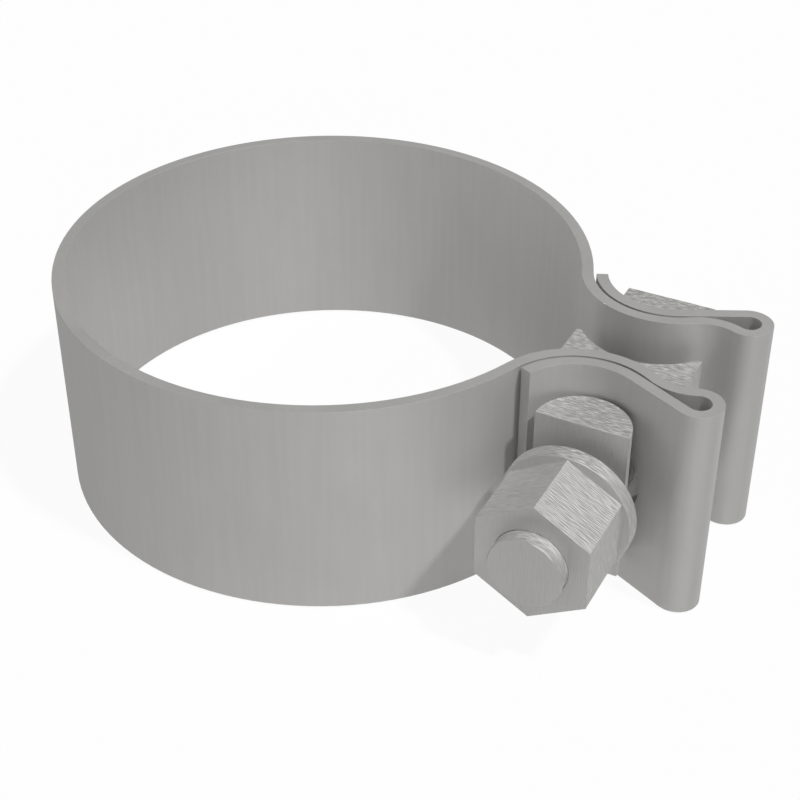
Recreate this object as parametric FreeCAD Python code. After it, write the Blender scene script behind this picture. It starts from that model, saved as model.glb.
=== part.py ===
"""Band clamp for a lapped exhaust joint: a folded band, a T-head bolt, a spacer block, a half-round
bar, a washer and a nut.

Millimetres, +Z up. The origin is on the ring's axis at the middle of the band's width. +Z runs along
the pipe and +X points to the ears. The two ears mirror each other in the plane y = 0, and the bolt
runs along Y through both. The nut is on the -Y side.
"""

import math
import os

import FreeCAD
import Part

Vector = FreeCAD.Vector
RING_CENTRE = Vector(0, 0, 0)

# Band
bore_diameter = 72.4  # inside of the ring, as drawn up around the pipe
sheet = 1.6  # thickness of the strip
band_width = 31.75  # width of the strip, along the pipe
ear_gap = 9.5  # between the ears where they are nearest, at the bolt
saddle_radius = 8.65  # hollow in the outside of each ear that the bar and the bolt's head lie in
fold_gap = 0.4  # between the two layers of an ear
loop_radius = 1.6  # inside of the loop at the end of each ear
leg_slope = 25.6  # slope of the outer layer's straight run from the saddle to the loop, in degrees
leg_run = 9.1  # length of that straight run
pinch_gap = 0.22  # between the layers at the crest, where they are nearest
free_edge_angle = 23.3  # end of the outer layer, beyond the saddle's level, in degrees
ear_hole_clearance = 1.85  # round the bolt, in both layers, as the ears swing when they close

# Bolt, bar and spacer
bolt_diameter = 10.0  # over the thread
bolt_stub = 2.1  # what stands out of the nut
bar_radius = 6.4  # round side of the bar and of the bolt's head
block_height = 22.85  # of the bar, the bolt's head and the spacer, along the pipe
seat_gap = 0.4  # between a round side and the bottom of its saddle
head_depth = 9.9  # thickness of the bolt's head, round side included
spacer_width = 17.9  # across the bolt, from ring to loops
spacer_depth = 10.5  # between the tips of opposite horns, along the bolt
horn_tip = 0.75  # flat left on the tip of each horn, across the bolt
spacer_waist = 2.5  # thickness left between the two hollows
horn_round = 0.3  # on the corners of the horns
bolt_hole_clearance = 0.25  # round the bolt, in the bar, the spacer and the washer
edge_break = 0.15  # on the corners of the machined pieces

# Washer and nut
washer_overhang = 0.32  # past the nut's corners
washer_thickness = 2.35  # along the bolt
washer_lift = 2.05  # how far the washer stands off the bar while the nut is loose
nut_flats = 15.2  # across two opposite sides
nut_height = 10.6  # along the bolt
thread_clearance = 0.05  # round the bolt, in the nut

# Sizes and places that follow from these
half_sheet = sheet / 2
bolt_radius = bolt_diameter / 2
ring_mid = bore_diameter / 2 + half_sheet
outer_layer_mid = saddle_radius + half_sheet
inner_layer_mid = outer_layer_mid + sheet + fold_gap
loop_mid = loop_radius + half_sheet
saddle_y = ear_gap / 2 + half_sheet + inner_layer_mid
bolt_x = math.sqrt((ring_mid + inner_layer_mid) ** 2 - saddle_y**2)
seat_y = saddle_y - saddle_radius + seat_gap
bar_flat_y = seat_y + bar_radius
washer_back_y = bar_flat_y + washer_lift
nut_back_y = washer_back_y + washer_thickness
nut_front_y = nut_back_y + nut_height
bolt_end_y = nut_front_y + bolt_stub
bolt_hole_radius = bolt_radius + bolt_hole_clearance
ear_hole_radius = bolt_radius + ear_hole_clearance
nut_corner_radius = nut_flats / math.sqrt(3)
washer_radius = nut_corner_radius + washer_overhang
hollow_reach = spacer_width / 2 - horn_tip
hollow_depth = (spacer_depth - spacer_waist) / 2
hollow_radius = (hollow_reach**2 + hollow_depth**2) / (2 * hollow_depth)


def point(centre, radius, angle):
    """Point on a circle in the plane z = 0, with the angle in degrees."""
    turn = math.radians(angle)
    return Vector(centre.x + radius * math.cos(turn), centre.y + radius * math.sin(turn), 0)


def heading(start, end):
    """Direction from one point to another, in degrees."""
    return math.degrees(math.atan2(end.y - start.y, end.x - start.x))


def arc(centre, radius, start, end):
    """Arc of a circle between two angles."""
    middle = (start + end) / 2
    points = [point(centre, radius, angle) for angle in (start, middle, end)]
    return Part.Arc(*points).toShape()


def prism(edges, height):
    """Solid with the given closed outline, centred on z = 0."""
    outline = Part.Wire(Part.__sortEdges__(edges))
    outline.translate(Vector(0, 0, -height / 2))
    return Part.Face(outline).extrude(Vector(0, 0, height))


def along_bolt(radius, start_y, end_y):
    """Round bar or hole on the bolt's axis, between two places along Y."""
    length = end_y - start_y
    return Part.makeCylinder(radius, length, Vector(bolt_x, start_y, 0), Vector(0, 1, 0))


def broken(solid, chosen):
    """The solid with a small chamfer on the edges that the test chooses."""
    edges = [edge for edge in solid.Edges if chosen(edge)]
    return solid.makeChamfer(edge_break, edges)


def crest_run(radius):
    """How far along the outer layer's straight run a crest of this radius lies from the saddle and from
    the loop, when it is tangent to both and passes the run at pinch_gap."""
    nest = sheet + pinch_gap
    from_saddle = math.sqrt((fold_gap - pinch_gap) * (inner_layer_mid + outer_layer_mid + nest + 2 * radius))
    to_loop = math.sqrt((2 * loop_mid - nest) * (nest + 2 * radius))
    return from_saddle, to_loop


def crest_radius():
    """Radius of the crest, to the middle of the sheet, that fits the length of the straight run."""
    low = 0
    high = leg_run**2 / sheet
    for _ in range(60):
        radius = (low + high) / 2
        if sum(crest_run(radius)) < leg_run:
            low = radius
        else:
            high = radius
    return radius


def ear_bends():
    """The bends of the ear on the +Y side, from the ring to the free edge, each as centre, radius to the
    middle of the sheet, first angle and last angle. Where two don't meet, the sheet runs straight."""
    slope = math.radians(leg_slope)
    outward = Vector(math.cos(slope), math.sin(slope), 0)
    inward = Vector(math.sin(slope), -math.cos(slope), 0)
    saddle = Vector(bolt_x, saddle_y, 0)
    leg_start = saddle + inward * outer_layer_mid
    loop = leg_start + outward * leg_run + inward * loop_mid
    radius = crest_radius()
    from_saddle, _ = crest_run(radius)
    crest = leg_start + outward * from_saddle + inward * (radius + sheet + pinch_gap)
    return [
        (saddle, inner_layer_mid, heading(saddle, RING_CENTRE), heading(saddle, crest)),
        (crest, radius, heading(crest, saddle), heading(crest, loop)),
        (loop, loop_mid, heading(loop, crest), leg_slope + 90),
        (saddle, outer_layer_mid, leg_slope - 90, free_edge_angle - 180),
    ]


def mirrored(bends):
    """The same bends on the other side of the plane y = 0, walked the other way."""
    other = []
    for centre, radius, first, last in reversed(bends):
        other.append((Vector(centre.x, -centre.y, 0), radius, -last, -first))
    return other


def sheet_face(bends, side):
    """One face of the sheet along the bends: side is 1 for the face on the left of the walk and -1 for
    the one on the right."""
    edges = []
    end = None
    for centre, radius, first, last in bends:
        bend_side = math.copysign(1, last - first)
        face_radius = radius - side * bend_side * half_sheet
        start = point(centre, face_radius, first)
        if end is not None and (start - end).Length > 1e-4:
            edges.append(Part.LineSegment(end, start).toShape())
        edges.append(arc(centre, face_radius, first, last))
        end = point(centre, face_radius, last)
    return edges


def free_edge(centre, radius, angle):
    """Cut end of the sheet, square to its faces."""
    inside = point(centre, radius - half_sheet, angle)
    outside = point(centre, radius + half_sheet, angle)
    return Part.LineSegment(inside, outside).toShape()


def band():
    """The ring and both ears, folded from one strip."""
    ear = ear_bends()
    ring_end = heading(RING_CENTRE, ear[0][0])
    ring = (RING_CENTRE, ring_mid, -ring_end, ring_end - 360)
    bends = mirrored(ear) + [ring] + ear
    first_centre, first_radius, first_angle, _ = bends[0]
    last_centre, last_radius, _, last_angle = bends[-1]
    outline = sheet_face(bends, 1) + sheet_face(bends, -1)
    outline.append(free_edge(first_centre, first_radius, first_angle))
    outline.append(free_edge(last_centre, last_radius, last_angle))
    reach = saddle_y + saddle_radius
    return prism(outline, band_width).cut(along_bolt(ear_hole_radius, -reach, reach))


def half_round(side, depth):
    """Upright piece with a round side in the saddle and a flat back. side is 1 for +Y and -1 for -Y."""
    centre = Vector(bolt_x, side * (seat_y + bar_radius), 0)
    left = Vector(bolt_x - bar_radius, side * (seat_y + depth), 0)
    right = Vector(bolt_x + bar_radius, side * (seat_y + depth), 0)
    edges = [arc(centre, bar_radius, 0, -180 * side), Part.LineSegment(left, right).toShape()]
    if depth > bar_radius:
        for corner in (left, right):
            tangent = Vector(corner.x, centre.y, 0)
            edges.append(Part.LineSegment(tangent, corner).toShape())
    end_z = block_height / 2 - edge_break
    return broken(prism(edges, block_height), lambda edge: abs(edge.CenterOfMass.z) > end_z)


def half_round_bar():
    """Half-round bar with the bolt's hole across it."""
    hole = along_bolt(bolt_hole_radius, -bar_flat_y, -seat_y)
    return half_round(-1, bar_radius).cut(hole)


def t_bolt():
    """Bolt with a D-shaped head."""
    shank = along_bolt(bolt_radius, -bolt_end_y, bar_flat_y)
    shank = broken(shank, lambda edge: edge.BoundBox.YMax < 0)
    return half_round(1, head_depth).fuse(shank).removeSplitter()


def spacer_block():
    """Block between the ears, hollowed on both sides to take them, with the bolt through its waist."""
    half_depth = spacer_depth / 2
    hollow_y = spacer_waist / 2 + hollow_radius
    bottom = -block_height / 2
    corner = Vector(bolt_x - spacer_width / 2, -half_depth, bottom)
    block = Part.makeBox(spacer_width, spacer_depth, block_height, corner)
    for side in (-1, 1):
        hollow_centre = Vector(bolt_x, side * hollow_y, bottom)
        block = block.cut(Part.makeCylinder(hollow_radius, block_height, hollow_centre))
    tips = [
        edge
        for edge in block.Edges
        if edge.BoundBox.ZLength > block_height / 2 and abs(abs(edge.CenterOfMass.y) - half_depth) < 1e-4
    ]
    block = block.makeFillet(horn_round, tips)
    return block.cut(along_bolt(bolt_hole_radius, -half_depth, half_depth))


def flat_washer():
    """Plain washer."""
    disc = along_bolt(washer_radius, -nut_back_y, -washer_back_y)
    disc = broken(disc, lambda edge: edge.BoundBox.XLength > washer_radius)
    return disc.cut(along_bolt(bolt_hole_radius, -nut_back_y, -washer_back_y))


def hex_nut():
    """Six-sided nut with one corner up."""
    corners = []
    for step in range(7):
        turn = math.radians(90 + 60 * step)
        across = nut_corner_radius * math.cos(turn)
        up = nut_corner_radius * math.sin(turn)
        corners.append(Vector(bolt_x + across, -nut_front_y, up))
    blank = Part.Face(Part.makePolygon(corners)).extrude(Vector(0, nut_height, 0))
    return blank.cut(along_bolt(bolt_radius + thread_clearance, -nut_front_y, -nut_back_y))


def main():
    os.makedirs("parts", exist_ok=True)
    pieces = {
        "band": band(),
        "t_bolt": t_bolt(),
        "spacer_block": spacer_block(),
        "half_round_bar": half_round_bar(),
        "flat_washer": flat_washer(),
        "hex_nut": hex_nut(),
    }
    for name, shape in pieces.items():
        box = shape.BoundBox
        print(name, "valid", shape.isValid(), "solids", len(shape.Solids), "volume", round(shape.Volume, 1))
        print("  x", round(box.XMin, 2), round(box.XMax, 2), "y", round(box.YMin, 2), round(box.YMax, 2))
        shape.exportStep(f"parts/{name}.step")


main()
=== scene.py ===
import math

import bmesh
import bpy
from mathutils import Matrix, Vector


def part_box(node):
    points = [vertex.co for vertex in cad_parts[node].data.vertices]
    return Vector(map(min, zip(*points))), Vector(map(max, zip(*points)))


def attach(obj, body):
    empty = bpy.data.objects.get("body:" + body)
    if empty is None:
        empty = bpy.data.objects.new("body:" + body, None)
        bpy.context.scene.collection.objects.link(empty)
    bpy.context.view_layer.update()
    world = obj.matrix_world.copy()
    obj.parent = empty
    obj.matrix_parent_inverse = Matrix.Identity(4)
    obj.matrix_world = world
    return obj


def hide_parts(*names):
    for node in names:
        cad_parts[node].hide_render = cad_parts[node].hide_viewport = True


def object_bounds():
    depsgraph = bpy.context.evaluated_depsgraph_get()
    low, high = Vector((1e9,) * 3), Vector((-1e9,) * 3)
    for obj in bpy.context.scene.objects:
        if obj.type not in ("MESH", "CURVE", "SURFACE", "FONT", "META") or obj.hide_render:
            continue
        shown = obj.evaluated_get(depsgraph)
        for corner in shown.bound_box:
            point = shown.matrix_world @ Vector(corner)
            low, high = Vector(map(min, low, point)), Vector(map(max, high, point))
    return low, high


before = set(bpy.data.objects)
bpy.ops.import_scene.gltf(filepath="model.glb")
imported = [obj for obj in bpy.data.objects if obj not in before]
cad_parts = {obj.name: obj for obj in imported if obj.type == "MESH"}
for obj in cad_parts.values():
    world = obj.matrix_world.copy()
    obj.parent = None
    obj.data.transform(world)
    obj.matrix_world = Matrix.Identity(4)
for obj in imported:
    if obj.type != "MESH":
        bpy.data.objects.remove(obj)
cad_low, cad_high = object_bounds()

# Camera: place in metres from the ring's centre, angles in degrees, lens and sensor in millimetres
camera_place = Vector((0.10218, -0.17694, 0.13535))
camera_azimuth = -63.0  # of the way back to the camera, from +X
camera_elevation = 35.264
camera_lens = 75.35
camera_sensor = 36.0

# Floor and backdrop: sizes in metres, and how bright they are of themselves
floor_size = 3.0
floor_drop = 0.0004  # below the part, so that their faces don't meet
floor_glow = 0.945
floor_albedo = 0.05  # share of the studio light that the floor gives back
backdrop_radius = 4.0
backdrop_segments = 48
white_level = 0.98
white = (1, 1, 1, 1)

# Lights: name, azimuth from +X, elevation and breadth in degrees, strength, shadow
ambient_strength = 0.204
studio_lights = (
    ("key", -8, 60, 4, 2.2, True),
    ("left_fill", 180, 12, 50, 0.3, True),
    ("front_left_fill", 225, 12, 50, 0.305, True),
    ("low_left_fill", 225, -65, 50, 0.7, True),
    ("low_back_fill", 45, -38, 50, 0.33, True),
    ("low_front_fill", 315, -38, 50, 0.24, True),
    ("shadowless_fill", 315, -38, 50, 0.335, False),
)

# Steel: its darkest and lightest colour, and its least and most roughness
dark_steel = (0.58, 0.575, 0.566, 1)
light_steel = (0.82, 0.813, 0.803, 1)
smooth_steel = 0.7
rough_steel = 0.76

# Grain of the steel along X, Y and Z, in cycles per metre
across_grain = (700, 6000, 700)  # lines across the bolt's axis
level_grain = (800, 5000, 800)  # the same on level faces
upright_grain = (6500, 800, 350)  # upright lines on faces that face along the bolt
rolled_grain = (1200, 1200, 60)  # upright lines on the strip
cloud_grain = (120, 120, 90)  # soft clouds of roughness
grain_detail = 0
cloud_detail = 3
noise_roughness = 0.55
noise_low = 0.3  # the noise is cut off below this
noise_high = 0.7  # and above this

# Depth of the grain, as a share of its full height and contrast
across_depth = 0.5
level_depth = 1.0
upright_depth = 0.1
rolled_depth = 0.05

# Full height of the grain, in metres
strip_grain_height = 0.000005
machined_grain_height = 0.00016

# Size of the normal along an axis, where a face starts to count as facing it and where it fully does
facing_start = 0.88
facing_full = 0.96

# Thread of the bolt and the nut, in millimetres
bolt_radius = 5.0
thread_pitch = 1.5
thread_depth = 0.45
thread_crest = 0.4  # flat on the tip of the thread
thread_root = 0.5  # flat at the bottom of the thread
thread_run_out = 2.0  # over which the thread rises from nothing
thread_clearance = 0.05  # between the bolt's thread and the nut's
thread_phase = 0.97  # how far the thread is moved along Y
thread_steps = 72  # round one turn
spare_turns = 2  # past each end, cut back to the end rings
shank_end = -5.2  # where the plain shank starts, along Y
thread_gap = 0.4  # between the thread and the plain shank
bolt_chamfer = 0.1
nut_chamfer = 0.05  # at both ends of the nut's hole
hole_margin = 0.2  # past the bolt's radius, takes in the wall of the nut's hole
hole_lean = 0.1  # most that the wall's normal has along Y

# Rounded edges, in millimetres
weld_distance = 0.0005  # points nearer than this become one
flat_angle = math.radians(0.5)  # faces that meet at less than this become one
sharp_angle = math.radians(32)  # edges above this are rounded
rounding_steps = 3
band_rounding = 0.05
machined_rounding = 0.02
nut_rounding = 0.02

MILLIMETRE = 0.001  # in metres


def cad_box(node):
    """Corners of a CAD node in millimetres."""
    low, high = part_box(node)
    return low / MILLIMETRE, high / MILLIMETRE


def cad_shape(node):
    """Closed copy of a CAD node's mesh in millimetres, with flat faces in one piece."""
    shape = bmesh.new()
    shape.from_mesh(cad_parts[node].data)
    bmesh.ops.scale(shape, vec=Vector((1, 1, 1)) / MILLIMETRE, verts=shape.verts)
    bmesh.ops.remove_doubles(shape, verts=shape.verts, dist=weld_distance)
    bmesh.ops.dissolve_limit(shape, angle_limit=flat_angle, verts=shape.verts, edges=shape.edges)
    return shape


def round_edges(shape, width):
    """Rounds every sharp edge of the shape."""
    sharp = [edge for edge in shape.edges if edge.is_manifold and edge.calc_face_angle() > sharp_angle]
    bmesh.ops.bevel(
        shape,
        geom=sharp,
        offset=width,
        offset_type="OFFSET",
        segments=rounding_steps,
        profile=0.5,
        affect="EDGES",
        clamp_overlap=True,
        miter_outer="ARC",
    )


def shape_object(shape, name):
    """Object in millimetres from a bmesh, which is freed."""
    mesh = bpy.data.meshes.new(name)
    bmesh.ops.recalc_face_normals(shape, faces=shape.faces)
    shape.to_mesh(mesh)
    shape.free()
    item = bpy.data.objects.new(name, mesh)
    bpy.context.scene.collection.objects.link(item)
    return item


def finish_piece(item, node, body, material):
    """Scales the piece to metres, shades it, and puts it in the place of its CAD node."""
    item.data.transform(Matrix.Scale(MILLIMETRE, 4))
    item.data.materials.append(material)
    item.data.shade_smooth()
    item.data.set_sharp_from_angle(angle=sharp_angle)
    even = item.modifiers.new("even_shading", "WEIGHTED_NORMAL")
    even.keep_sharp = True
    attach(item, body)
    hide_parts(node)


def add_point(shape, bolt_x, radius, share, y):
    """Adds a point at a share of a turn round the bolt's axis."""
    angle = 2 * math.pi * share
    return shape.verts.new((bolt_x + radius * math.sin(angle), y, radius * math.cos(angle)))


def add_ring(shape, bolt_x, radius, y):
    """Adds a ring of points round the bolt's axis."""
    return [add_point(shape, bolt_x, radius, step / thread_steps, y) for step in range(thread_steps)]


def join_rings(shape, near, far):
    """Joins two rings that have the same number of points."""
    for step in range(thread_steps):
        after = (step + 1) % thread_steps
        shape.faces.new((near[step], near[after], far[after], far[step]))


def add_thread(shape, bolt_x, crest_radius, depth, start, end):
    """Adds a right-hand thread along Y, cut outward at a negative depth, and gives its two end rings."""
    flank = (thread_pitch - thread_crest - thread_root) / 2
    profile = ((0, 0), (thread_crest, 0), (thread_crest + flank, 1), (thread_pitch - flank, 1))
    first_turn = math.floor(start / thread_pitch) - spare_turns
    last_turn = math.ceil(end / thread_pitch) + spare_turns
    near = add_ring(shape, bolt_x, crest_radius, start)
    far = add_ring(shape, bolt_x, crest_radius, end)
    columns = []
    for step in range(thread_steps + 1):
        share = step / thread_steps
        column = []
        for turn in range(first_turn, last_turn):
            for along, share_of_depth in profile:
                y = thread_pitch * (turn + share) + along + thread_phase
                if y <= start:
                    column.append(near[step % thread_steps])
                elif y >= end:
                    column.append(far[step % thread_steps])
                elif step == thread_steps:
                    # The last column has the first one's points, one turn on
                    column.append(columns[0][len(column) + len(profile)])
                else:
                    run_out = min(1, (y - start) / thread_run_out, (end - y) / thread_run_out)
                    radius = crest_radius - depth * share_of_depth * run_out
                    column.append(add_point(shape, bolt_x, radius, share, y))
        columns.append(column)
    for left, right in zip(columns, columns[1:]):
        for row in range(len(left) - 1):
            corners = list(dict.fromkeys((left[row], right[row], right[row + 1], left[row + 1])))
            if len(corners) > 2:
                shape.faces.new(corners)
    return near, far


def bridge(shape, ring, y):
    """Joins a ring of points to the other open edge of the shape, which lies at y along the bolt."""
    ring_points = set(ring)
    loop = [edge for edge in shape.edges if edge.is_boundary and ring_points.issuperset(edge.verts)]
    rim = []
    for edge in shape.edges:
        if edge.is_boundary and edge not in loop:
            if all(abs(point.co.y - y) < weld_distance for point in edge.verts):
                rim.append(edge)
    bmesh.ops.bridge_loops(shape, edges=loop + rim)


def make_bolt(material):
    """T-head bolt with a cut thread."""
    low, high = cad_box("t_bolt")
    bolt_x = (low.x + high.x) / 2
    end = low.y
    shape = cad_shape("t_bolt")
    bmesh.ops.bisect_plane(
        shape,
        geom=shape.verts[:] + shape.edges[:] + shape.faces[:],
        plane_co=(0, shank_end, 0),
        plane_no=(0, -1, 0),
        clear_outer=True,
    )
    round_edges(shape, machined_rounding)
    start = end + bolt_chamfer
    near, far = add_thread(shape, bolt_x, bolt_radius, thread_depth, start, shank_end - thread_gap)
    tip = add_ring(shape, bolt_x, bolt_radius - bolt_chamfer, end)
    join_rings(shape, tip, near)
    shape.faces.new(tip)
    bridge(shape, far, shank_end)
    finish_piece(shape_object(shape, "threaded_bolt"), "t_bolt", "clamp", material)


def make_nut(material):
    """Hex nut with a thread cut outward from its hole, so that the bolt clears it wherever the nut is."""
    low, high = cad_box("hex_nut")
    bolt_x = (low.x + high.x) / 2
    shape = cad_shape("hex_nut")
    hole = []
    for face in shape.faces:
        middle = face.calc_center_median()
        if math.hypot(middle.x - bolt_x, middle.z) < bolt_radius + hole_margin:
            if abs(face.normal.y) < hole_lean:
                hole.append(face)
    bmesh.ops.delete(shape, geom=hole, context="FACES")
    round_edges(shape, nut_rounding)
    radius = bolt_radius + thread_clearance
    near, far = add_thread(shape, bolt_x, radius, -thread_depth, low.y + nut_chamfer, high.y - nut_chamfer)
    bridge(shape, near, low.y)
    bridge(shape, far, high.y)
    finish_piece(shape_object(shape, "threaded_nut"), "hex_nut", "nut", material)


def make_softened(node, name, width, body, material):
    """Copy of a CAD node with rounded edges."""
    shape = cad_shape(node)
    round_edges(shape, width)
    finish_piece(shape_object(shape, name), node, body, material)


def new_material(name):
    """Empty node material with its output node."""
    material = bpy.data.materials.new(name)
    material.use_nodes = True
    material.node_tree.nodes.clear()
    output = material.node_tree.nodes.new("ShaderNodeOutputMaterial")
    return material, material.node_tree, output


def stretched_noise(tree, coordinates, scale, detail):
    """Noise with its own scale along each axis, in cycles per metre."""
    stretch = tree.nodes.new("ShaderNodeVectorMath")
    stretch.operation = "MULTIPLY"
    stretch.inputs[1].default_value = scale
    tree.links.new(coordinates.outputs["Object"], stretch.inputs[0])
    noise = tree.nodes.new("ShaderNodeTexNoise")
    noise.inputs["Scale"].default_value = 1
    noise.inputs["Detail"].default_value = detail
    noise.inputs["Roughness"].default_value = noise_roughness
    tree.links.new(stretch.outputs["Vector"], noise.inputs["Vector"])
    return noise.outputs["Fac"]


def ranged(tree, value, from_low, from_high, to_low, to_high):
    """Value moved from one range to another, and kept inside it."""
    ranger = tree.nodes.new("ShaderNodeMapRange")
    ranger.inputs["From Min"].default_value = from_low
    ranger.inputs["From Max"].default_value = from_high
    ranger.inputs["To Min"].default_value = to_low
    ranger.inputs["To Max"].default_value = to_high
    tree.links.new(value, ranger.inputs["Value"])
    return ranger.outputs["Result"]


def mixed(tree, share, first, second):
    """Mix of two grains, from the first at a share of 0 to the second at 1."""
    mix = tree.nodes.new("ShaderNodeMix")
    tree.links.new(share, mix.inputs["Factor"])
    tree.links.new(first, mix.inputs["A"])
    tree.links.new(second, mix.inputs["B"])
    return mix.outputs["Result"]


def steel_colour(tree, share):
    """Steel grey that varies between a darker and a lighter shade."""
    mix = tree.nodes.new("ShaderNodeMix")
    mix.data_type = "RGBA"
    mix.inputs["A"].default_value = dark_steel
    mix.inputs["B"].default_value = light_steel
    tree.links.new(share, mix.inputs["Factor"])
    return mix.outputs["Result"]


def facing(tree, coordinates, axis):
    """How far a surface faces along an axis of its piece, from 0 to 1."""
    split = tree.nodes.new("ShaderNodeSeparateXYZ")
    tree.links.new(coordinates.outputs["Normal"], split.inputs["Vector"])
    size = tree.nodes.new("ShaderNodeMath")
    size.operation = "ABSOLUTE"
    tree.links.new(split.outputs[axis], size.inputs[0])
    return ranged(tree, size.outputs["Value"], facing_start, facing_full, 0, 1)


def grain_lines(tree, coordinates, scale, depth):
    """Fine lines that go from 0 to 1 at full depth and stay near 0.5 at a small one."""
    lines = stretched_noise(tree, coordinates, scale, grain_detail)
    return ranged(tree, lines, noise_low, noise_high, 0.5 - depth / 2, 0.5 + depth / 2)


def machined_grain(tree, coordinates):
    """Lines across the bolt's axis, deeper on level faces, and faint upright ones on end faces."""
    across = grain_lines(tree, coordinates, across_grain, across_depth)
    level = grain_lines(tree, coordinates, level_grain, level_depth)
    upright = grain_lines(tree, coordinates, upright_grain, upright_depth)
    across_or_level = mixed(tree, facing(tree, coordinates, "Z"), across, level)
    return mixed(tree, facing(tree, coordinates, "Y"), across_or_level, upright)


def strip_grain(tree, coordinates):
    """Faint upright lines of the rolled strip."""
    return grain_lines(tree, coordinates, rolled_grain, rolled_depth)


def make_steel(name, make_grain, grain_height):
    """Bare steel with a fine grain from make_grain, and a roughness that varies in soft clouds."""
    material, tree, output = new_material(name)
    coordinates = tree.nodes.new("ShaderNodeTexCoord")
    grain = make_grain(tree, coordinates)
    cloud = stretched_noise(tree, coordinates, cloud_grain, cloud_detail)
    roughness = ranged(tree, cloud, noise_low, noise_high, smooth_steel, rough_steel)
    bump = tree.nodes.new("ShaderNodeBump")
    bump.inputs["Strength"].default_value = 1
    bump.inputs["Distance"].default_value = grain_height
    tree.links.new(grain, bump.inputs["Height"])
    shader = tree.nodes.new("ShaderNodeBsdfPrincipled")
    shader.inputs["Metallic"].default_value = 1
    tree.links.new(steel_colour(tree, grain), shader.inputs["Base Color"])
    tree.links.new(roughness, shader.inputs["Roughness"])
    tree.links.new(bump.outputs["Normal"], shader.inputs["Normal"])
    tree.links.new(shader.outputs["BSDF"], output.inputs["Surface"])
    return material


def look_from(item, azimuth, elevation):
    """Turns a camera or a light to look from an azimuth and an elevation, in degrees."""
    flat = math.cos(math.radians(elevation))
    back = Vector((
        flat * math.cos(math.radians(azimuth)),
        flat * math.sin(math.radians(azimuth)),
        math.sin(math.radians(elevation)),
    ))
    item.rotation_mode = "QUATERNION"
    item.rotation_quaternion = back.to_track_quat("Z", "Y")


def make_camera():
    """Camera at the photograph's viewing angle."""
    data = bpy.data.cameras.new("camera")
    data.lens = camera_lens
    data.sensor_width = camera_sensor
    camera = bpy.data.objects.new("camera", data)
    camera.location = camera_place
    look_from(camera, camera_azimuth, camera_elevation)
    bpy.context.scene.collection.objects.link(camera)
    bpy.context.scene.camera = camera


def stage_object(mesh, name, glow, albedo):
    """Floor or backdrop that only the camera sees."""
    item = bpy.data.objects.new(name, mesh)
    bpy.context.scene.collection.objects.link(item)
    item.visible_diffuse = False
    item.visible_glossy = False
    item.visible_transmission = False
    item.visible_shadow = False
    material, tree, output = new_material(name + "_white")
    material.cycles.emission_sampling = "NONE"
    shader = tree.nodes.new("ShaderNodeBsdfPrincipled")
    shader.inputs["Base Color"].default_value = (albedo, albedo, albedo, 1)
    shader.inputs["Roughness"].default_value = 1
    shader.inputs["Specular IOR Level"].default_value = 0
    shader.inputs["Emission Color"].default_value = white
    shader.inputs["Emission Strength"].default_value = glow
    tree.links.new(shader.outputs["BSDF"], output.inputs["Surface"])
    mesh.materials.append(material)


def make_floor():
    """Plain pale floor, bright enough of itself to show hardly any shadow."""
    half = floor_size / 2
    level = cad_low.z - floor_drop
    mesh = bpy.data.meshes.new("floor")
    corners = [(-half, -half, level), (half, -half, level), (half, half, level), (-half, half, level)]
    mesh.from_pydata(corners, [], [(0, 1, 2, 3)])
    stage_object(mesh, "floor", floor_glow, floor_albedo)


def make_backdrop():
    """White shell round the stage for the views from the side."""
    shape = bmesh.new()
    bmesh.ops.create_uvsphere(
        shape,
        u_segments=backdrop_segments,
        v_segments=backdrop_segments // 2,
        radius=backdrop_radius,
    )
    mesh = bpy.data.meshes.new("backdrop")
    shape.to_mesh(mesh)
    shape.free()
    stage_object(mesh, "backdrop", white_level, 0)


def make_lights():
    """Soft light from all round, a key light from the upper right and broad fills."""
    world = bpy.data.worlds.new("studio")
    world.use_nodes = True
    background = world.node_tree.nodes["Background"]
    background.inputs["Color"].default_value = white
    background.inputs["Strength"].default_value = ambient_strength
    bpy.context.scene.world = world
    for name, azimuth, elevation, breadth, strength, shadow in studio_lights:
        data = bpy.data.lights.new(name, "SUN")
        data.angle = math.radians(breadth)
        data.energy = strength
        data.use_shadow = shadow
        light = bpy.data.objects.new(name, data)
        look_from(light, azimuth, elevation)
        bpy.context.scene.collection.objects.link(light)


make_camera()
make_floor()
make_backdrop()
make_lights()
bpy.context.scene.view_settings.view_transform = "Standard"
strip_steel = make_steel("strip_steel_finish", strip_grain, strip_grain_height)
machined_steel = make_steel("machined_steel_finish", machined_grain, machined_grain_height)
make_softened("band", "folded_band", band_rounding, "clamp", strip_steel)
make_softened("half_round_bar", "bar", machined_rounding, "clamp", machined_steel)
make_softened("spacer_block", "spacer", machined_rounding, "spacer", machined_steel)
make_softened("flat_washer", "washer", machined_rounding, "washer", machined_steel)
make_bolt(machined_steel)
make_nut(machined_steel)
